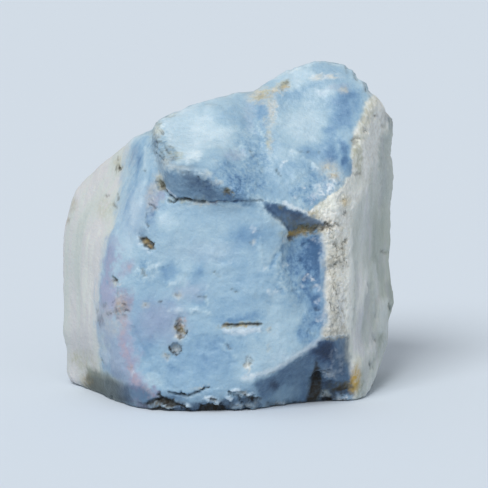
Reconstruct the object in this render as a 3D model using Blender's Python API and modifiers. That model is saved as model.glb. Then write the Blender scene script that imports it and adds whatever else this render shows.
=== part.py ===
"""A hand-sized piece of rough blue opal, broken out of its seam and standing on a flat break.

Metres, +Z up. The pale blue broken face looks along -Y. The origin is on the resting face, below
the middle of the stone. The stone is one natural piece, so it is one object.
"""

import math

import bmesh
import bpy
from mathutils import Matrix, Vector, noise

MM = 0.001

# Driving dimensions of the stone. The corners below are for a stone that is 49 mm wide.
GRAIN = 0.55 * MM
TRIANGLES = 8000
BEND = 0.35 * MM
BEND_SPACING = 7 * MM
LUMP = 0.2 * MM
LUMP_SPACING = 4 * MM
LUMP_SEED = 11
EDGE_WEAR = 0.4
FACET_EVENING = 0.3
SOFT_EDGE_DEGREES = 35

# A corner with this height is below the plane that the stone stands on, and is cut off there.
CUT_OFF = -1.0

# The blocks that the stone broke into, each by its corners in millimetres: x to the right,
# y away from the front, z up. The body carries the broad front break, both rinds and the back.
FRONT_BREAK = [
    (-9.7, -13.2, 29.6),
    (2.5, -15.9, 30.0),
    (5.0, -15.8, 27.7),
    (6.1, -15.6, 25.7),
    (5.6, -15.7, 23.2),
    (-14.6, -13.2, 24.2),
    (-1.7, -16.8, 4.0),
    (2.5, -17.0, 5.5),
    (7.9, -16.2, 8.6),
    (-11.2, -15.4, CUT_OFF),
]
LEFT_RIND = [
    (-18.7, -10.2, 23.6),
    (-19.3, -11.7, 15.3),
    (-18.5, -12.2, 8.2),
    (-15.0, -14.2, 1.7),
    (-23.0, -3.2, 22.4),
    (-26.8, 7.0, 19.2),
    (-26.3, 7.0, 24.1),
    (-25.5, 6.5, 26.3),
    (-24.4, 6.0, 28.9),
    (-22.2, 4.5, 31.4),
    (-19.4, 1.0, 33.9),
    (-16.3, -2.0, 36.7),
    (-14.3, -3.5, 37.8),
    (-13.3, -8.0, 36.2),
    (-26.7, 6.0, 7.3),
    (-26.3, 4.0, 1.4),
    (-24.6, 1.0, CUT_OFF),
]
RIGHT_RIND = [
    (11.4, -12.6, 24.4),
    (15.3, -8.6, 23.4),
    (11.4, -15.0, 10.5),
    (14.3, -11.8, 9.5),
    (15.1, -9.8, 9.8),
    (21.7, 7.0, 26.6),
    (22.2, 7.0, 11.7),
    (21.5, 6.0, 5.6),
    (20.1, 4.0, 2.3),
]
BACK = [
    (-25.5, 11.5, 21.0),
    (-23.5, 14.0, 8.5),
    (-19.5, 14.5, 29.0),
    (-9.0, 14.0, 36.8),
    (3.0, 18.2, 21.0),
    (-9.0, 18.0, 11.0),
    (14.5, 17.5, 24.5),
    (21.0, 13.5, 30.0),
    (20.5, 14.5, 9.5),
]
BASE = [
    (-6.0, -15.2, CUT_OFF),
    (-0.6, -14.0, CUT_OFF),
    (6.5, -12.2, CUT_OFF),
    (14.4, -10.6, CUT_OFF),
    (17.6, -7.0, CUT_OFF),
    (18.4, 0.0, CUT_OFF),
    (18.0, 9.5, CUT_OFF),
    (11.5, 14.5, CUT_OFF),
    (-12.0, 14.5, CUT_OFF),
    (-21.0, 9.0, CUT_OFF),
    (-15.3, -13.2, CUT_OFF),
]

# The upper left block leans out over the front break: its lower ridge hangs in the open.
LEFT_RIDGE = [
    (-12.2, -11.5, 35.4),
    (-10.9, -15.0, 35.2),
    (-6.8, -17.6, 34.9),
    (-3.7, -17.6, 33.0),
    (-1.2, -17.1, 31.5),
    (2.5, -16.1, 30.2),
    (6.3, -15.0, 29.0),
]
LEFT_TOP = [
    (-13.3, -6.5, 39.4),
    (-11.9, -5.0, 40.6),
    (-10.5, -4.0, 41.1),
    (-6.3, -2.5, 42.4),
    (-0.6, -1.0, 43.7),
    (0.9, -0.5, 43.7),
    (3.9, -8.5, 37.4),
]
LEFT_ROOT = [
    (-9.7, -9.6, 24.0),
    (-6.8, -9.3, 24.4),
    (2.5, -10.0, 22.5),
    (6.0, -9.8, 22.0),
    (-9.0, 13.0, 35.5),
    (3.0, 14.6, 35.0),
]

# The summit block stands a little proud of it on the right, and ends at the right rind.
SUMMIT_RIDGE = [
    (2.9, -15.9, 30.1),
    (7.8, -15.4, 28.4),
    (12.1, -13.7, 25.8),
]
SUMMIT_TOP = [
    (1.1, -1.5, 43.8),
    (2.3, 0.0, 44.7),
    (4.5, 1.0, 45.8),
    (6.9, 2.0, 47.0),
    (9.2, 2.5, 47.4),
    (11.3, 3.0, 47.8),
    (14.6, 3.0, 47.5),
    (16.2, 2.0, 46.5),
    (17.2, 1.0, 45.0),
    (4.6, -5.6, 41.7),
    (4.5, -8.4, 39.1),
    (3.7, -10.8, 35.8),
]
SUMMIT_RIGHT = [
    (18.0, -1.5, 42.7),
    (16.2, -6.2, 38.8),
    (15.2, -9.2, 34.2),
    (13.5, -11.4, 31.0),
    (18.7, 1.0, 42.2),
    (19.8, 2.0, 40.6),
    (21.3, 5.0, 38.5),
    (21.6, 7.0, 36.0),
    (21.8, 7.0, 30.4),
    (21.7, 7.0, 24.0),
    (16.8, -6.0, 26.0),
]
SUMMIT_ROOT = [
    (2.5, -10.0, 22.5),
    (8.0, -9.4, 21.0),
    (12.2, -11.9, 21.5),
    (15.4, -8.4, 18.0),
    (21.6, 6.5, 18.0),
    (1.0, 14.4, 33.0),
    (4.0, 14.0, 40.5),
    (13.5, 12.5, 42.5),
    (20.8, 13.0, 33.0),
    (2.0, 15.5, 24.0),
    (14.5, 16.0, 26.0),
]

# A glassy hollow flaked out of the front break beside the right rind, deepest under the summit.
HOLLOW = [
    (6.5, -12.3, 27.0),
    (7.0, -12.9, 24.0),
    (12.0, -12.2, 24.6),
    (11.4, -14.4, 11.3),
    (8.4, -16.0, 9.8),
    (4.8, -15.8, 20.5),
    (6.3, -20.0, 27.0),
    (12.4, -20.0, 26.0),
    (13.0, -20.0, 11.0),
    (8.4, -20.0, 9.6),
    (4.2, -20.0, 21.0),
]

# Shell-shaped breaks: the middle of each, the way it faces, its width and its depth in millimetres.
SHELLS = {
    "pale_shell": ((-6.0, -9.6, 38.6), (-0.1, -0.52, 0.85), 12.0, 0.6),
    "summit_shell": ((10.3, -6.0, 40.0), (0.05, -0.68, 0.73), 13.0, 0.7),
    "corner_shell": ((9.0, -13.0, 4.0), (0.35, -0.78, -0.52), 13.0, 0.9),
    "left_shoulder_shell": ((-17.0, 9.0, 33.5), (-0.5, 0.4, 0.77), 17.0, 1.5),
    "top_back_shell": ((9.5, 9.5, 43.0), (-0.05, 0.68, 0.73), 15.0, 1.3),
    "high_back_shell": ((4.0, 15.6, 35.0), (-0.05, 0.9, 0.42), 22.0, 2.2),
    "low_back_shell": ((-12.0, 16.6, 9.0), (-0.2, 0.95, -0.22), 27.0, 2.6),
    "right_back_shell": ((19.0, 14.5, 20.0), (0.72, 0.69, 0.0), 21.0, 2.0),
    "left_back_shell": ((-23.6, 12.5, 23.0), (-0.78, 0.55, 0.3), 19.0, 1.6),
    "foot_back_shell": ((10.0, 16.2, 4.5), (0.3, 0.8, -0.5), 17.0, 1.6),
}

# Pits in the front: where each is across and up the face, its length, height and depth in
# millimetres, and how far it leans in degrees.
PITS = {
    "rusty_pit": (-13.7, 23.8, 2.4, 1.2, 1.1, 38),
    "red_pit": (-8.8, 12.0, 1.5, 3.2, 1.0, 8),
    "ring_pit": (-9.6, 9.0, 1.8, 1.8, 0.7, 0),
    "tan_pit": (0.6, 7.1, 1.2, 1.8, 0.6, 0),
    "side_pit": (-17.8, 18.5, 0.9, 1.4, 0.7, 0),
    "slit": (-0.2, 12.8, 5.8, 0.8, 1.3, 0),
    "corner_cleft": (10.0, 3.0, 1.7, 8.0, 1.1, 8),
    "foot_crevice": (-10.4, 1.6, 5.4, 1.3, 1.6, -8),
}


def clear_scene():
    for old in list(bpy.data.objects):
        bpy.data.objects.remove(old)


def new_collection(name, shown=True):
    made = bpy.data.collections.new(name)
    made.hide_render = not shown
    bpy.context.scene.collection.children.link(made)
    return made


def new_object(name, bm, collection):
    mesh = bpy.data.meshes.new(name)
    bm.to_mesh(mesh)
    bm.free()
    made = bpy.data.objects.new(name, mesh)
    collection.objects.link(made)
    return made


def block(name, corners, collection):
    """The convex block that has these corners."""
    bm = bmesh.new()
    for corner in corners:
        bm.verts.new(Vector(corner) * MM)
    made = bmesh.ops.convex_hull(bm, input=bm.verts)
    inside = [g for g in made["geom_interior"] if isinstance(g, bmesh.types.BMVert)]
    bmesh.ops.delete(bm, geom=inside, context="VERTS")
    bmesh.ops.recalc_face_normals(bm, faces=bm.faces)
    return new_object(name, bm, collection)


def shell(name, middle, facing, width, depth, collection):
    """A ball that takes a shallow shell of this width and depth out of a break."""
    radius = (width * width / 4 + depth * depth) / (2 * depth)
    centre = Vector(middle) + Vector(facing).normalized() * (radius - depth)
    bm = bmesh.new()
    bmesh.ops.create_icosphere(bm, subdivisions=5, radius=radius * MM, matrix=Matrix.Translation(centre * MM))
    return new_object(name, bm, collection)


def pit(name, face_point, length, height, depth, lean, collection):
    """A flattened ball, half sunk in a face that looks along -Y."""
    size = Matrix.Diagonal((length / 2 * MM, depth * MM, height / 2 * MM, 1.0))
    turned = Matrix.Rotation(math.radians(lean), 4, "Y")
    bm = bmesh.new()
    bmesh.ops.create_icosphere(bm, subdivisions=2, radius=1.0, matrix=Matrix.Translation(face_point) @ turned @ size)
    return new_object(name, bm, collection)


def front_face_point(solid, across, up):
    """The point of the front that is this far across and up, in millimetres."""
    start = Vector((across, -100.0, up)) * MM
    hit, place, _, _ = solid.ray_cast(start, Vector((0.0, 1.0, 0.0)))
    return place if hit else start


def boolean(solid, operation, other):
    step = solid.modifiers.new(other.name, "BOOLEAN")
    step.operation = operation
    step.object = other
    other.hide_render = True
    other.display_type = "WIRE"


def apply_modifiers(solid):
    bpy.context.view_layer.update()
    graph = bpy.context.evaluated_depsgraph_get()
    solid.data = bpy.data.meshes.new_from_object(solid.evaluated_get(graph))
    solid.modifiers.clear()
    bpy.context.view_layer.update()


def join_blocks(stone, cutters):
    """The body with its hollow, the two blocks above it and the shell-shaped breaks, as one solid."""
    boolean(stone, "DIFFERENCE", block("hollow", HOLLOW, cutters))
    boolean(stone, "UNION", block("upper_left", LEFT_RIDGE + LEFT_TOP + LEFT_ROOT, cutters))
    summit = SUMMIT_RIDGE + SUMMIT_TOP + SUMMIT_RIGHT + SUMMIT_ROOT
    boolean(stone, "UNION", block("summit", summit, cutters))
    for name, values in SHELLS.items():
        boolean(stone, "DIFFERENCE", shell(name, *values, cutters))
    grain = stone.modifiers.new("grain", "REMESH")
    grain.mode = "VOXEL"
    grain.voxel_size = GRAIN
    apply_modifiers(stone)


def weather(solid):
    """Bends the straight edges of the blocks and gives the breaks their broad lumps."""
    bm = bmesh.new()
    bm.from_mesh(solid.data)
    noise.seed_set(LUMP_SEED)
    bmesh.ops.smooth_vert(bm, verts=bm.verts, factor=EDGE_WEAR, use_axis_x=True, use_axis_y=True, use_axis_z=True)
    bm.normal_update()
    moves = []
    for vert in bm.verts:
        bend = noise.noise_vector(vert.co / BEND_SPACING) * BEND
        lump = noise.fractal(vert.co / LUMP_SPACING, 0.9, 2.1, 4) * LUMP
        moves.append(bend + vert.normal * lump)
    for vert, move in zip(bm.verts, moves):
        vert.co += move
    bm.to_mesh(solid.data)
    bm.free()


def thin_out(solid):
    """Leaves only the facets that the lumps and edges need, and evens them out."""
    thin = solid.modifiers.new("thin", "DECIMATE")
    thin.ratio = TRIANGLES / (2 * len(solid.data.polygons))
    smooth = solid.modifiers.new("smooth", "SMOOTH")
    smooth.factor = FACET_EVENING
    smooth.iterations = 1
    apply_modifiers(solid)


def sink_pits(solid, cutters):
    for name, (across, up, length, height, depth, lean) in PITS.items():
        face_point = front_face_point(solid, across, up)
        boolean(solid, "DIFFERENCE", pit(name, face_point, length, height, depth, lean, cutters))
    apply_modifiers(solid)


def rest_flat(solid):
    """Cuts the stone off on the plane that it stands on, and closes the cut."""
    bm = bmesh.new()
    bm.from_mesh(solid.data)
    everything = bm.verts[:] + bm.edges[:] + bm.faces[:]
    cut = bmesh.ops.bisect_plane(bm, geom=everything, plane_co=(0, 0, 0), plane_no=(0, 0, -1), clear_outer=True)
    rim = [g for g in cut["geom_cut"] if isinstance(g, bmesh.types.BMEdge)]
    bmesh.ops.holes_fill(bm, edges=rim)
    bm.to_mesh(solid.data)
    bm.free()


def centre_on_origin(solid, cutters):
    """Moves everything so that the origin is on the resting face, below the middle of the stone's box."""
    bpy.context.view_layer.update()
    corners = [Vector(corner) for corner in solid.bound_box]
    middle = sum(corners, Vector()) / len(corners)
    for made in [solid, *cutters.objects]:
        made.data.transform(Matrix.Translation((-middle.x, -middle.y, 0.0)))


def opal_material():
    """Rough blue opal: pale blue and waxy, without metal."""
    made = bpy.data.materials.new("rough_blue_opal")
    made.use_nodes = True
    surface = made.node_tree.nodes["Principled BSDF"]
    surface.inputs["Base Color"].default_value = (0.36, 0.54, 0.72, 1.0)
    surface.inputs["Roughness"].default_value = 0.55
    surface.inputs["Metallic"].default_value = 0.0
    made.diffuse_color = (0.36, 0.54, 0.72, 1.0)
    return made


def main():
    clear_scene()
    stones = new_collection("blue_opal")
    cutters = new_collection("cutters", shown=False)
    stone = block("blue_opal", FRONT_BREAK + LEFT_RIND + RIGHT_RIND + BACK + BASE, stones)
    join_blocks(stone, cutters)
    weather(stone)
    thin_out(stone)
    sink_pits(stone, cutters)
    rest_flat(stone)
    centre_on_origin(stone, cutters)
    stone.data.shade_smooth()
    stone.data.set_sharp_from_angle(angle=math.radians(SOFT_EDGE_DEGREES))
    stone.data.materials.append(opal_material())


main()
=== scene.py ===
import math
import bmesh
import bpy
import numpy as np
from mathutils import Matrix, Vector, noise
from mathutils.bvhtree import BVHTree


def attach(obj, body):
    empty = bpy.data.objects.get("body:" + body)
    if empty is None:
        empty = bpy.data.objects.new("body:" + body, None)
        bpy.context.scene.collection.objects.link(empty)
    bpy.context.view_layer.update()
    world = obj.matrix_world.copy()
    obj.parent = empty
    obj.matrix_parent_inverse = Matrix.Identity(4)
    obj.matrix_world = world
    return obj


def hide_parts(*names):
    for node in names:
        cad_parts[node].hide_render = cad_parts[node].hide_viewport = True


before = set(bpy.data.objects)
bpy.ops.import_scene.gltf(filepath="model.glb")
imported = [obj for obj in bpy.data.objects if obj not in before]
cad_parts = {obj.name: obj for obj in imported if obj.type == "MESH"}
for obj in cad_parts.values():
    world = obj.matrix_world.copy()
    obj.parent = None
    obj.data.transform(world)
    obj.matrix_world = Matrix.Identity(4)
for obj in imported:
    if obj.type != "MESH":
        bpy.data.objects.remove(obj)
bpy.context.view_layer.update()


# The picture's viewpoint.
# A long lens stands straight in front of the stone and looks slightly down on it.
# The stone's features below are placed in this picture, in pixels across and down.
MM = 0.001
PICTURE_PIXELS = 488
MM_PER_PIXEL = 0.145
VIEW_DISTANCE = 420.0
VIEW_DOWN = math.radians(10)
PICTURE_MIDDLE = Vector((2.336, -0.452, 21.3))
SENSOR_WIDTH = 36.0

ahead = Vector((0, math.cos(VIEW_DOWN), -math.sin(VIEW_DOWN)))
above = Vector((0, math.sin(VIEW_DOWN), math.cos(VIEW_DOWN)))
eye = PICTURE_MIDDLE - ahead * VIEW_DISTANCE
pixels_per_slope = VIEW_DISTANCE / MM_PER_PIXEL


def put(name, data):
    """A new object of this mesh, camera or lamp, in the scene."""
    made = bpy.data.objects.new(name, data)
    bpy.context.scene.collection.objects.link(made)
    return made


camera_data = bpy.data.cameras.new("front_camera")
camera_data.sensor_width = SENSOR_WIDTH
camera_data.lens = SENSOR_WIDTH * pixels_per_slope / PICTURE_PIXELS
camera_data.clip_start = 10 * MM
camera_data.clip_end = 20
camera = put("front_camera", camera_data)
camera.location = eye * MM
camera.rotation_euler = ahead.to_track_quat("-Z", "Y").to_euler()
bpy.context.scene.camera = camera
bpy.context.scene.view_settings.view_transform = "Standard"


# The opal's skin.
# The real piece is one lump of common blue opal, knocked off a seam between two walls of pale rock.
# Its skin starts from the frame's solid, in even squares that are finer where the picture shows more.
SKIN_GRAIN = 0.6
SKIN_SMOOTHING = 3
FACING_SHARE = 0.12
REST_HEIGHT = 0.25
EDGE_ROUNDS = 14
FRONT_ROUNDS = 4
# A point is in sight when a look from just above it meets nothing on its way, both in millimetres.
CLEAR_START = 0.15
CLEAR_REACH = 60
# The foot and the walls of the hollow take the picture's marks although they turn away a little.
FOOT_TOP = (338, 346)
HOLLOW_ACROSS = (262, 330)
HOLLOW_DOWN = (200, 344)
# The left, top, right and bottom of each fine place: the crack, gap, slit, pits, foot, cleft and crusts.
FINE_PLACES = [
    (158, 183, 262, 206), (258, 198, 340, 246), (218, 318, 266, 336), (136, 230, 158, 254),
    (150, 176, 168, 210), (166, 316, 190, 358), (242, 356, 254, 370), (146, 386, 262, 412),
    (304, 354, 326, 408), (330, 374, 362, 404), (324, 240, 348, 338), (320, 168, 352, 232),
    (252, 82, 292, 126), (150, 120, 180, 164), (110, 276, 128, 314),
]

solid = bmesh.new()
solid.from_mesh(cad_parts["blue_opal"].data)
bmesh.ops.remove_doubles(solid, verts=solid.verts, dist=0.002 * MM)
stone_mesh = bpy.data.meshes.new("blue_opal_stone")
solid.to_mesh(stone_mesh)
solid.free()

stone = put("blue_opal_stone", stone_mesh)
remesh = stone.modifiers.new("even_grain", "REMESH")
remesh.mode = "VOXEL"
remesh.voxel_size = SKIN_GRAIN * MM
bpy.context.view_layer.update()
even = bpy.data.meshes.new_from_object(stone.evaluated_get(bpy.context.evaluated_depsgraph_get()))
stone.modifiers.remove(remesh)
skin = bmesh.new()
skin.from_mesh(even)
bpy.data.meshes.remove(even)


def smooth_skin(times):
    for _ in range(times):
        bmesh.ops.smooth_vert(
            skin, verts=skin.verts, factor=0.5, use_axis_x=True, use_axis_y=True, use_axis_z=True
        )
    skin.normal_update()


def refine_skin(faces):
    """Parts each of these faces in four."""
    edges = list({e for f in faces for e in f.edges})
    bmesh.ops.subdivide_edges(skin, edges=edges, cuts=1, use_grid_fill=True)
    bmesh.ops.triangulate(skin, faces=[f for f in skin.faces if len(f.verts) > 4])


def in_picture(points):
    """How far across and down the picture these points in millimetres lie, in pixels."""
    seen = points - np.array(eye)
    depth = seen @ np.array(ahead)
    across = PICTURE_PIXELS / 2 + seen[:, 0] / depth * pixels_per_slope
    down = PICTURE_PIXELS / 2 - seen @ np.array(above) / depth * pixels_per_slope
    return across, down


def facing_picture(face):
    return face.normal.dot((eye * MM - face.calc_center_median()).normalized()) > FACING_SHARE


smooth_skin(SKIN_SMOOTHING)
refine_skin([f for f in skin.faces if facing_picture(f)])
smooth_skin(1)
faces = [f for f in skin.faces if facing_picture(f)]
face_across, face_down = in_picture(np.array([f.calc_center_median() for f in faces]) / MM)
fine = np.zeros(len(faces), bool)
for left, top, right, bottom in FINE_PLACES:
    fine |= (face_across > left) & (face_across < right) & (face_down > top) & (face_down < bottom)
refine_skin([f for f, chosen in zip(faces, fine) if chosen])
smooth_skin(1)

place = np.array([v.co for v in skin.verts]) / MM
outward = np.array([v.normal for v in skin.verts])
across, down = in_picture(place)
to_eye = np.array(eye) - place
to_eye /= np.linalg.norm(to_eye, axis=1)[:, None]
facing = (outward * to_eye).sum(axis=1)
body = BVHTree.FromBMesh(skin)
clear = np.array([
    body.ray_cast(v.co + v.normal * CLEAR_START * MM, Vector(look), CLEAR_REACH * MM)[0] is None
    for v, look in zip(skin.verts, to_eye)
])


def ease(value, low, high):
    """0 below low and 1 above high, with a soft change between."""
    share = np.clip((value - low) / (high - low), 0, 1)
    return share * share * (3 - 2 * share)


def between(value, low, high, soft=6):
    """1 between two limits and 0 beyond them, with a soft change just inside."""
    return ease(value, low, low + soft) * ease(-value, -high, soft - high)


def strongest(*values):
    """The largest of these values at each point."""
    return np.max(values, axis=0)


front = ease(facing, -0.02, 0.12) * clear
resting = place[:, 2] < REST_HEIGHT

skin.verts.index_update()
pairs = np.array([[v.index for v in e.verts] for e in skin.edges])
ends = np.concatenate([pairs[:, 0], pairs[:, 1]])
others = np.concatenate([pairs[:, 1], pairs[:, 0]])
neighbours = np.bincount(ends, minlength=len(place))


def evened(values, times):
    """The values after each point takes the mean of its neighbours' that many times."""
    for _ in range(times):
        columns = [np.bincount(ends, weights=column[others], minlength=len(place)) for column in values.T]
        values = (np.array(columns) / neighbours).T
    return values


standing_out = ((place - evened(place, EDGE_ROUNDS)) * outward).sum(axis=1)
ridge = ease(standing_out, 0.03, 0.14)
crease = ease(-standing_out, 0.03, 0.14)
foot = ease(down, *FOOT_TOP) * ease(-place[:, 1], 2, 5) * ease(facing, -0.12, 0.0)
inner = between(across, *HOLLOW_ACROSS) * between(down, *HOLLOW_DOWN)
inner *= ease(-place[:, 1], 0, 3) * ease(facing, -0.6, -0.4)
front = strongest(evened(front[:, None], FRONT_ROUNDS)[:, 0], foot, inner)


# Fine breaks.
# Opal has no grain of its own: it parts in shallow shells and small flat chips, with soft steps between.
# Where the blue is rough the chips are about a millimetre, elsewhere two to four; its edges are nibbled.
noise.seed_set(7)


def ripple(size, octaves=2, shift=0.0, squeeze=(1, 1, 1), roughness=0.5, lean=0.0):
    """Even waves about `size` mm across, from about -1 to 1; a lean tips them to the right as they rise."""
    leant = place - place[:, 2:] * np.array((lean, 0, 0))
    spots = leant * np.array(squeeze) / size + shift
    return np.array([noise.fractal(Vector(s), 1 - roughness, 2.1, octaves) for s in spots])


def chips(size, shift=0.0, blend=0.12):
    """Flat facets about `size` mm across, each tilted its own way, between about -0.5 and 0.5."""
    heights = []
    for spot in place / size + shift:
        spot = Vector(spot)
        distances, middles = noise.voronoi(spot)
        near, next_near = ((spot - middle).dot(noise.noise_vector(middle * 5.3)) for middle in middles[:2])
        share = min(1.0, (distances[1] - distances[0]) / blend) * 0.5 + 0.5
        heights.append(near * share + next_near * (1 - share))
    return np.array(heights)


wander = np.array([ripple(5.0, 4, shift, roughness=0.65) for shift in (3.1, 9.7)]) * 3.2
tremble = np.array([ripple(0.9, 3, shift, roughness=0.7) for shift in (13.1, 19.7)]) * 1.5
broken = ease(ripple(1.3, 3, 33.0), -0.35, 0.25)
patchy = ease(ripple(0.7, 3, 36.0), -0.4, 0.3)


# The rock walls.
# Left and right the opal still has the pale, chalky rock of its seam, a few millimetres thick.
# The left wall is smooth; the right one is faintly ribbed, with a crumbly crust where it meets the blue.
LEFT_WALL_EDGE = [
    (136, 125), (126, 150), (123, 165), (119, 197), (115, 227), (106, 238), (103, 252), (99, 275), (97, 300),
    (98, 330), (99, 350), (101, 372), (104, 400),
]
UPPER_RIGHT_EDGE = [
    (372, 90), (371, 100), (366, 110), (361, 121), (356, 134), (354.5, 147), (353, 160), (352, 173),
    (342, 188), (326, 200), (311, 210), (306, 215),
]
LOWER_RIGHT_EDGE = [(320, 228), (323, 240), (326, 262), (327.5, 300), (327, 322), (321, 338)]
FOOT_RIGHT_EDGE = [(345, 335), (347, 360), (350, 378), (352, 392), (352, 408)]
CRUST_EDGE = [
    (388, 90), (386, 110), (383, 130), (375, 150), (368, 175), (361, 192), (354, 205), (349, 225),
    (350, 250), (347, 270), (347, 300), (346, 322), (345, 338),
]
FAR_RIGHT_EDGE = [(372, 90), (372, 408)]
GAP_END = [(300, 210), (307, 214), (313, 215), (321, 218.5), (329, 225.5), (310, 231), (300, 230)]
LEFT_WALL_SOFT = (200, 225)
RIGHT_WALL_SOFT = (135, 160)
GAP_HEIGHT = (219, 228)
CRUST_FOOT = (334, 338)
LUMPY_ROCK_ENDS = (160, 250)


def wandering(ragged, jitter):
    """The skin's points in the picture, moved a little so that a shape's rim wanders as the stone does."""
    return np.array([across, down]) + wander * ragged + tremble * jitter


def pixels_from(path, x, y):
    """The distance in pixels of each point of the picture from a path."""
    nearest = np.full(len(x), 1e9)
    for (ax, ay), (bx, by) in zip(path, path[1:]):
        long = max((bx - ax) ** 2 + (by - ay) ** 2, 1e-9)
        share = np.clip(((x - ax) * (bx - ax) + (y - ay) * (by - ay)) / long, 0, 1)
        nearest = np.minimum(nearest, np.hypot(x - ax - share * (bx - ax), y - ay - share * (by - ay)))
    return nearest


def field(path, edge=3.0, ragged=1.0, jitter=1.0):
    """1 inside a closed outline of the picture, with an edge of that many pixels."""
    x, y = wandering(ragged, jitter)
    inside = np.zeros(len(x), bool)
    closed = path + path[:1]
    for (ax, ay), (bx, by) in zip(closed, closed[1:]):
        if ay != by:
            crosses = (ay > y) != (by > y)
            inside ^= crosses & (x < ax + (y - ay) * (bx - ax) / (by - ay))
    reach = pixels_from(closed, x, y)
    return ease(np.where(inside, reach, -reach), -edge, edge) * front


def upper(top, bottom):
    """1 above the first of two heights of the picture and 0 below the second."""
    return ease(-down, -bottom, -top)


def past_edge(path, soft):
    """0 left of an edge of the picture and 1 right of it, at each point's own height."""
    heights = [p[1] for p in path]
    edge = np.interp(np.clip(down, heights[0], heights[-1]), heights, [p[0] for p in path])
    return ease(across + wall_wander - edge, -soft, soft)


wall_wander = wander[0] * 0.5 + tremble[0] * 0.6 + ripple(1.6, 3, 23.0, (1, 1, 0.2)) * 2.5
wall_wander += ripple(9.0, 2, 21.0) * 12 * (1 - front)
left_wall = 1 - past_edge(LEFT_WALL_EDGE, 3.0 + 2.0 * upper(*LEFT_WALL_SOFT))
below_gap = ease(down, *GAP_HEIGHT)
below_crust = ease(down + wander[1] * 0.5 + tremble[1], *CRUST_FOOT)
right_wall = past_edge(UPPER_RIGHT_EDGE, 2.0 + 3.0 * upper(*RIGHT_WALL_SOFT)) * (1 - below_gap)
right_wall += past_edge(LOWER_RIGHT_EDGE, 4.2) * below_gap * (1 - below_crust)
right_wall += past_edge(FOOT_RIGHT_EDGE, 1.5) * below_crust
right_wall *= 1 - field(GAP_END, 2.0, 0.4) * 0.9
crust = right_wall * (1 - past_edge(CRUST_EDGE, 5.0)) * (1 - below_crust)
wall = strongest(left_wall, right_wall)
right_face = right_wall * (1 - crust)
lumpy_rock = right_face * (1 - ease(down, *LUMPY_ROCK_ENDS))
# The right face turns darker and greener towards its far edge as it turns from the light: partly its own
# tone, partly painted shade.
far_right_tone_and_shade = right_face * past_edge(FAR_RIGHT_EDGE, 12.0)


# The broken outline.
# Small corners stand out, and bites are missing, along the stone's sides and top.
# Each has its place and reach in pixels, and how far it moves right and up in millimetres.
OUTLINE_CORNERS = [
    (378, 102, 6, 0.3, 0.4), (384, 110, 5, 0.3, 0.2), (386, 113, 3, -0.5, 0), (391, 122, 6, 0.5, 0.5),
    (357, 70, 4, 0.2, 0.2), (360, 78, 3, -0.4, 0), (363, 84, 4, 0.3, 0.2), (393, 172, 14, 0.3, 0),
    (388, 226, 9, -0.3, 0), (390, 150, 7, -0.3, 0), (156, 123, 8, -0.1, 0.15), (392, 130, 8, 0.25, 0),
    (390, 205, 8, -0.2, 0), (389, 264, 14, -0.5, 0), (345, 64, 5, 0, 0.3), (376, 98, 4, 0.2, 0.2),
    (204, 101, 12, 0, 0.2), (234, 94, 10, 0, 0.25), (322, 61, 12, 0, 0.3), (388, 113, 4, 0.5, 0.1),
    (63, 333, 9, -0.35, 0), (68, 370, 12, -0.3, 0), (72, 383, 8, -0.3, 0.25), (391, 304, 6, 0.25, 0),
    (391, 279, 6, -0.15, 0), (390, 322, 9, -0.3, 0),
]
for x, y, reach, right, up in OUTLINE_CORNERS:
    near = np.exp(-((across - x) ** 2 + (down - y) ** 2) / (2 * reach**2))
    place[:, 0] += near * right
    place[:, 2] += near * up


# Relief, in millimetres outwards.
# Small chips lie all over, thicker in the rough blue.
# The crust is lumpy and cracked, and the right face is ribbed.
CORNER_FACET = [
    (151, 128), (156, 122), (162, 124), (160, 132), (159, 140), (166, 144), (176, 149), (178, 156),
    (172, 163), (165, 165), (158, 160), (152, 152),
]
CRUST_FOLD = [(373, 112), (368, 130), (363, 150), (362, 170), (362, 188), (355, 204)]
SILKY_BAND = [(134, 128), (150, 128), (152, 165), (146, 192), (132, 222), (114, 236), (114, 215), (121, 170)]
ROUGH_BLUE = [
    (230, 182, 70, 34, 1), (255, 150, 40, 60, 1), (306, 186, 34, 40, 1), (332, 185, 26, 26, 1),
    (302, 270, 34, 70, 1), (286, 275, 24, 50, 1), (310, 325, 26, 40, 1), (160, 142, 22, 46, 1),
    (165, 172, 18, 14, 1), (147, 270, 22, 26, 1), (152, 206, 16, 44, 0.8, 15),
]
CRACKED_CRUST = (190, 235)
WORN_CRUST_ACROSS = (333, 343)
WORN_CRUST_DOWN = (258, 270)


def oval(middle_across, middle_down, width, height, turn=0, edge=0.5, ragged=1.0, jitter=1.0):
    """1 inside an oval of the picture, sized in pixels, and 0 outside."""
    x, y = wandering(ragged, jitter) - np.array([[middle_across], [middle_down]])
    cosine, sine = math.cos(math.radians(turn)), math.sin(math.radians(turn))
    radius = np.hypot((x * cosine + y * sine) / (width / 2), (y * cosine - x * sine) / (height / 2))
    return ease(-radius, -1 - edge, -1 + edge) * front


def marks(spots, ragged=0.6, jitter=1.5, edge=0.7):
    """Several ovals together; each has its strength after its size, and then its turn where it has one."""
    return strongest(*(
        oval(x, y, width, height, *turn, edge=edge, ragged=ragged, jitter=jitter) * strength
        for x, y, width, height, strength, *turn in spots
    ))


def line(path, width, edge=0.6, ragged=0.3, jitter=0.7):
    """1 on a line of the picture that is `width` pixels wide, and 0 beside it."""
    apart = pixels_from(path, *wandering(ragged, jitter))
    return ease(-apart / (width / 2), -1 - edge, -1 + edge) * front


def seams(size, width, shift=0.0, warp=0.25):
    """1 along the borders of cells about `size` mm across, where dried rock has cracked."""
    found = []
    for spot in place / size + shift:
        spot = Vector(spot)
        distances, _ = noise.voronoi(spot + noise.noise_vector(spot * 2.5) * warp)
        found.append(distances[1] - distances[0])
    return ease(-np.array(found), -width, -width * 0.2)


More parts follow.
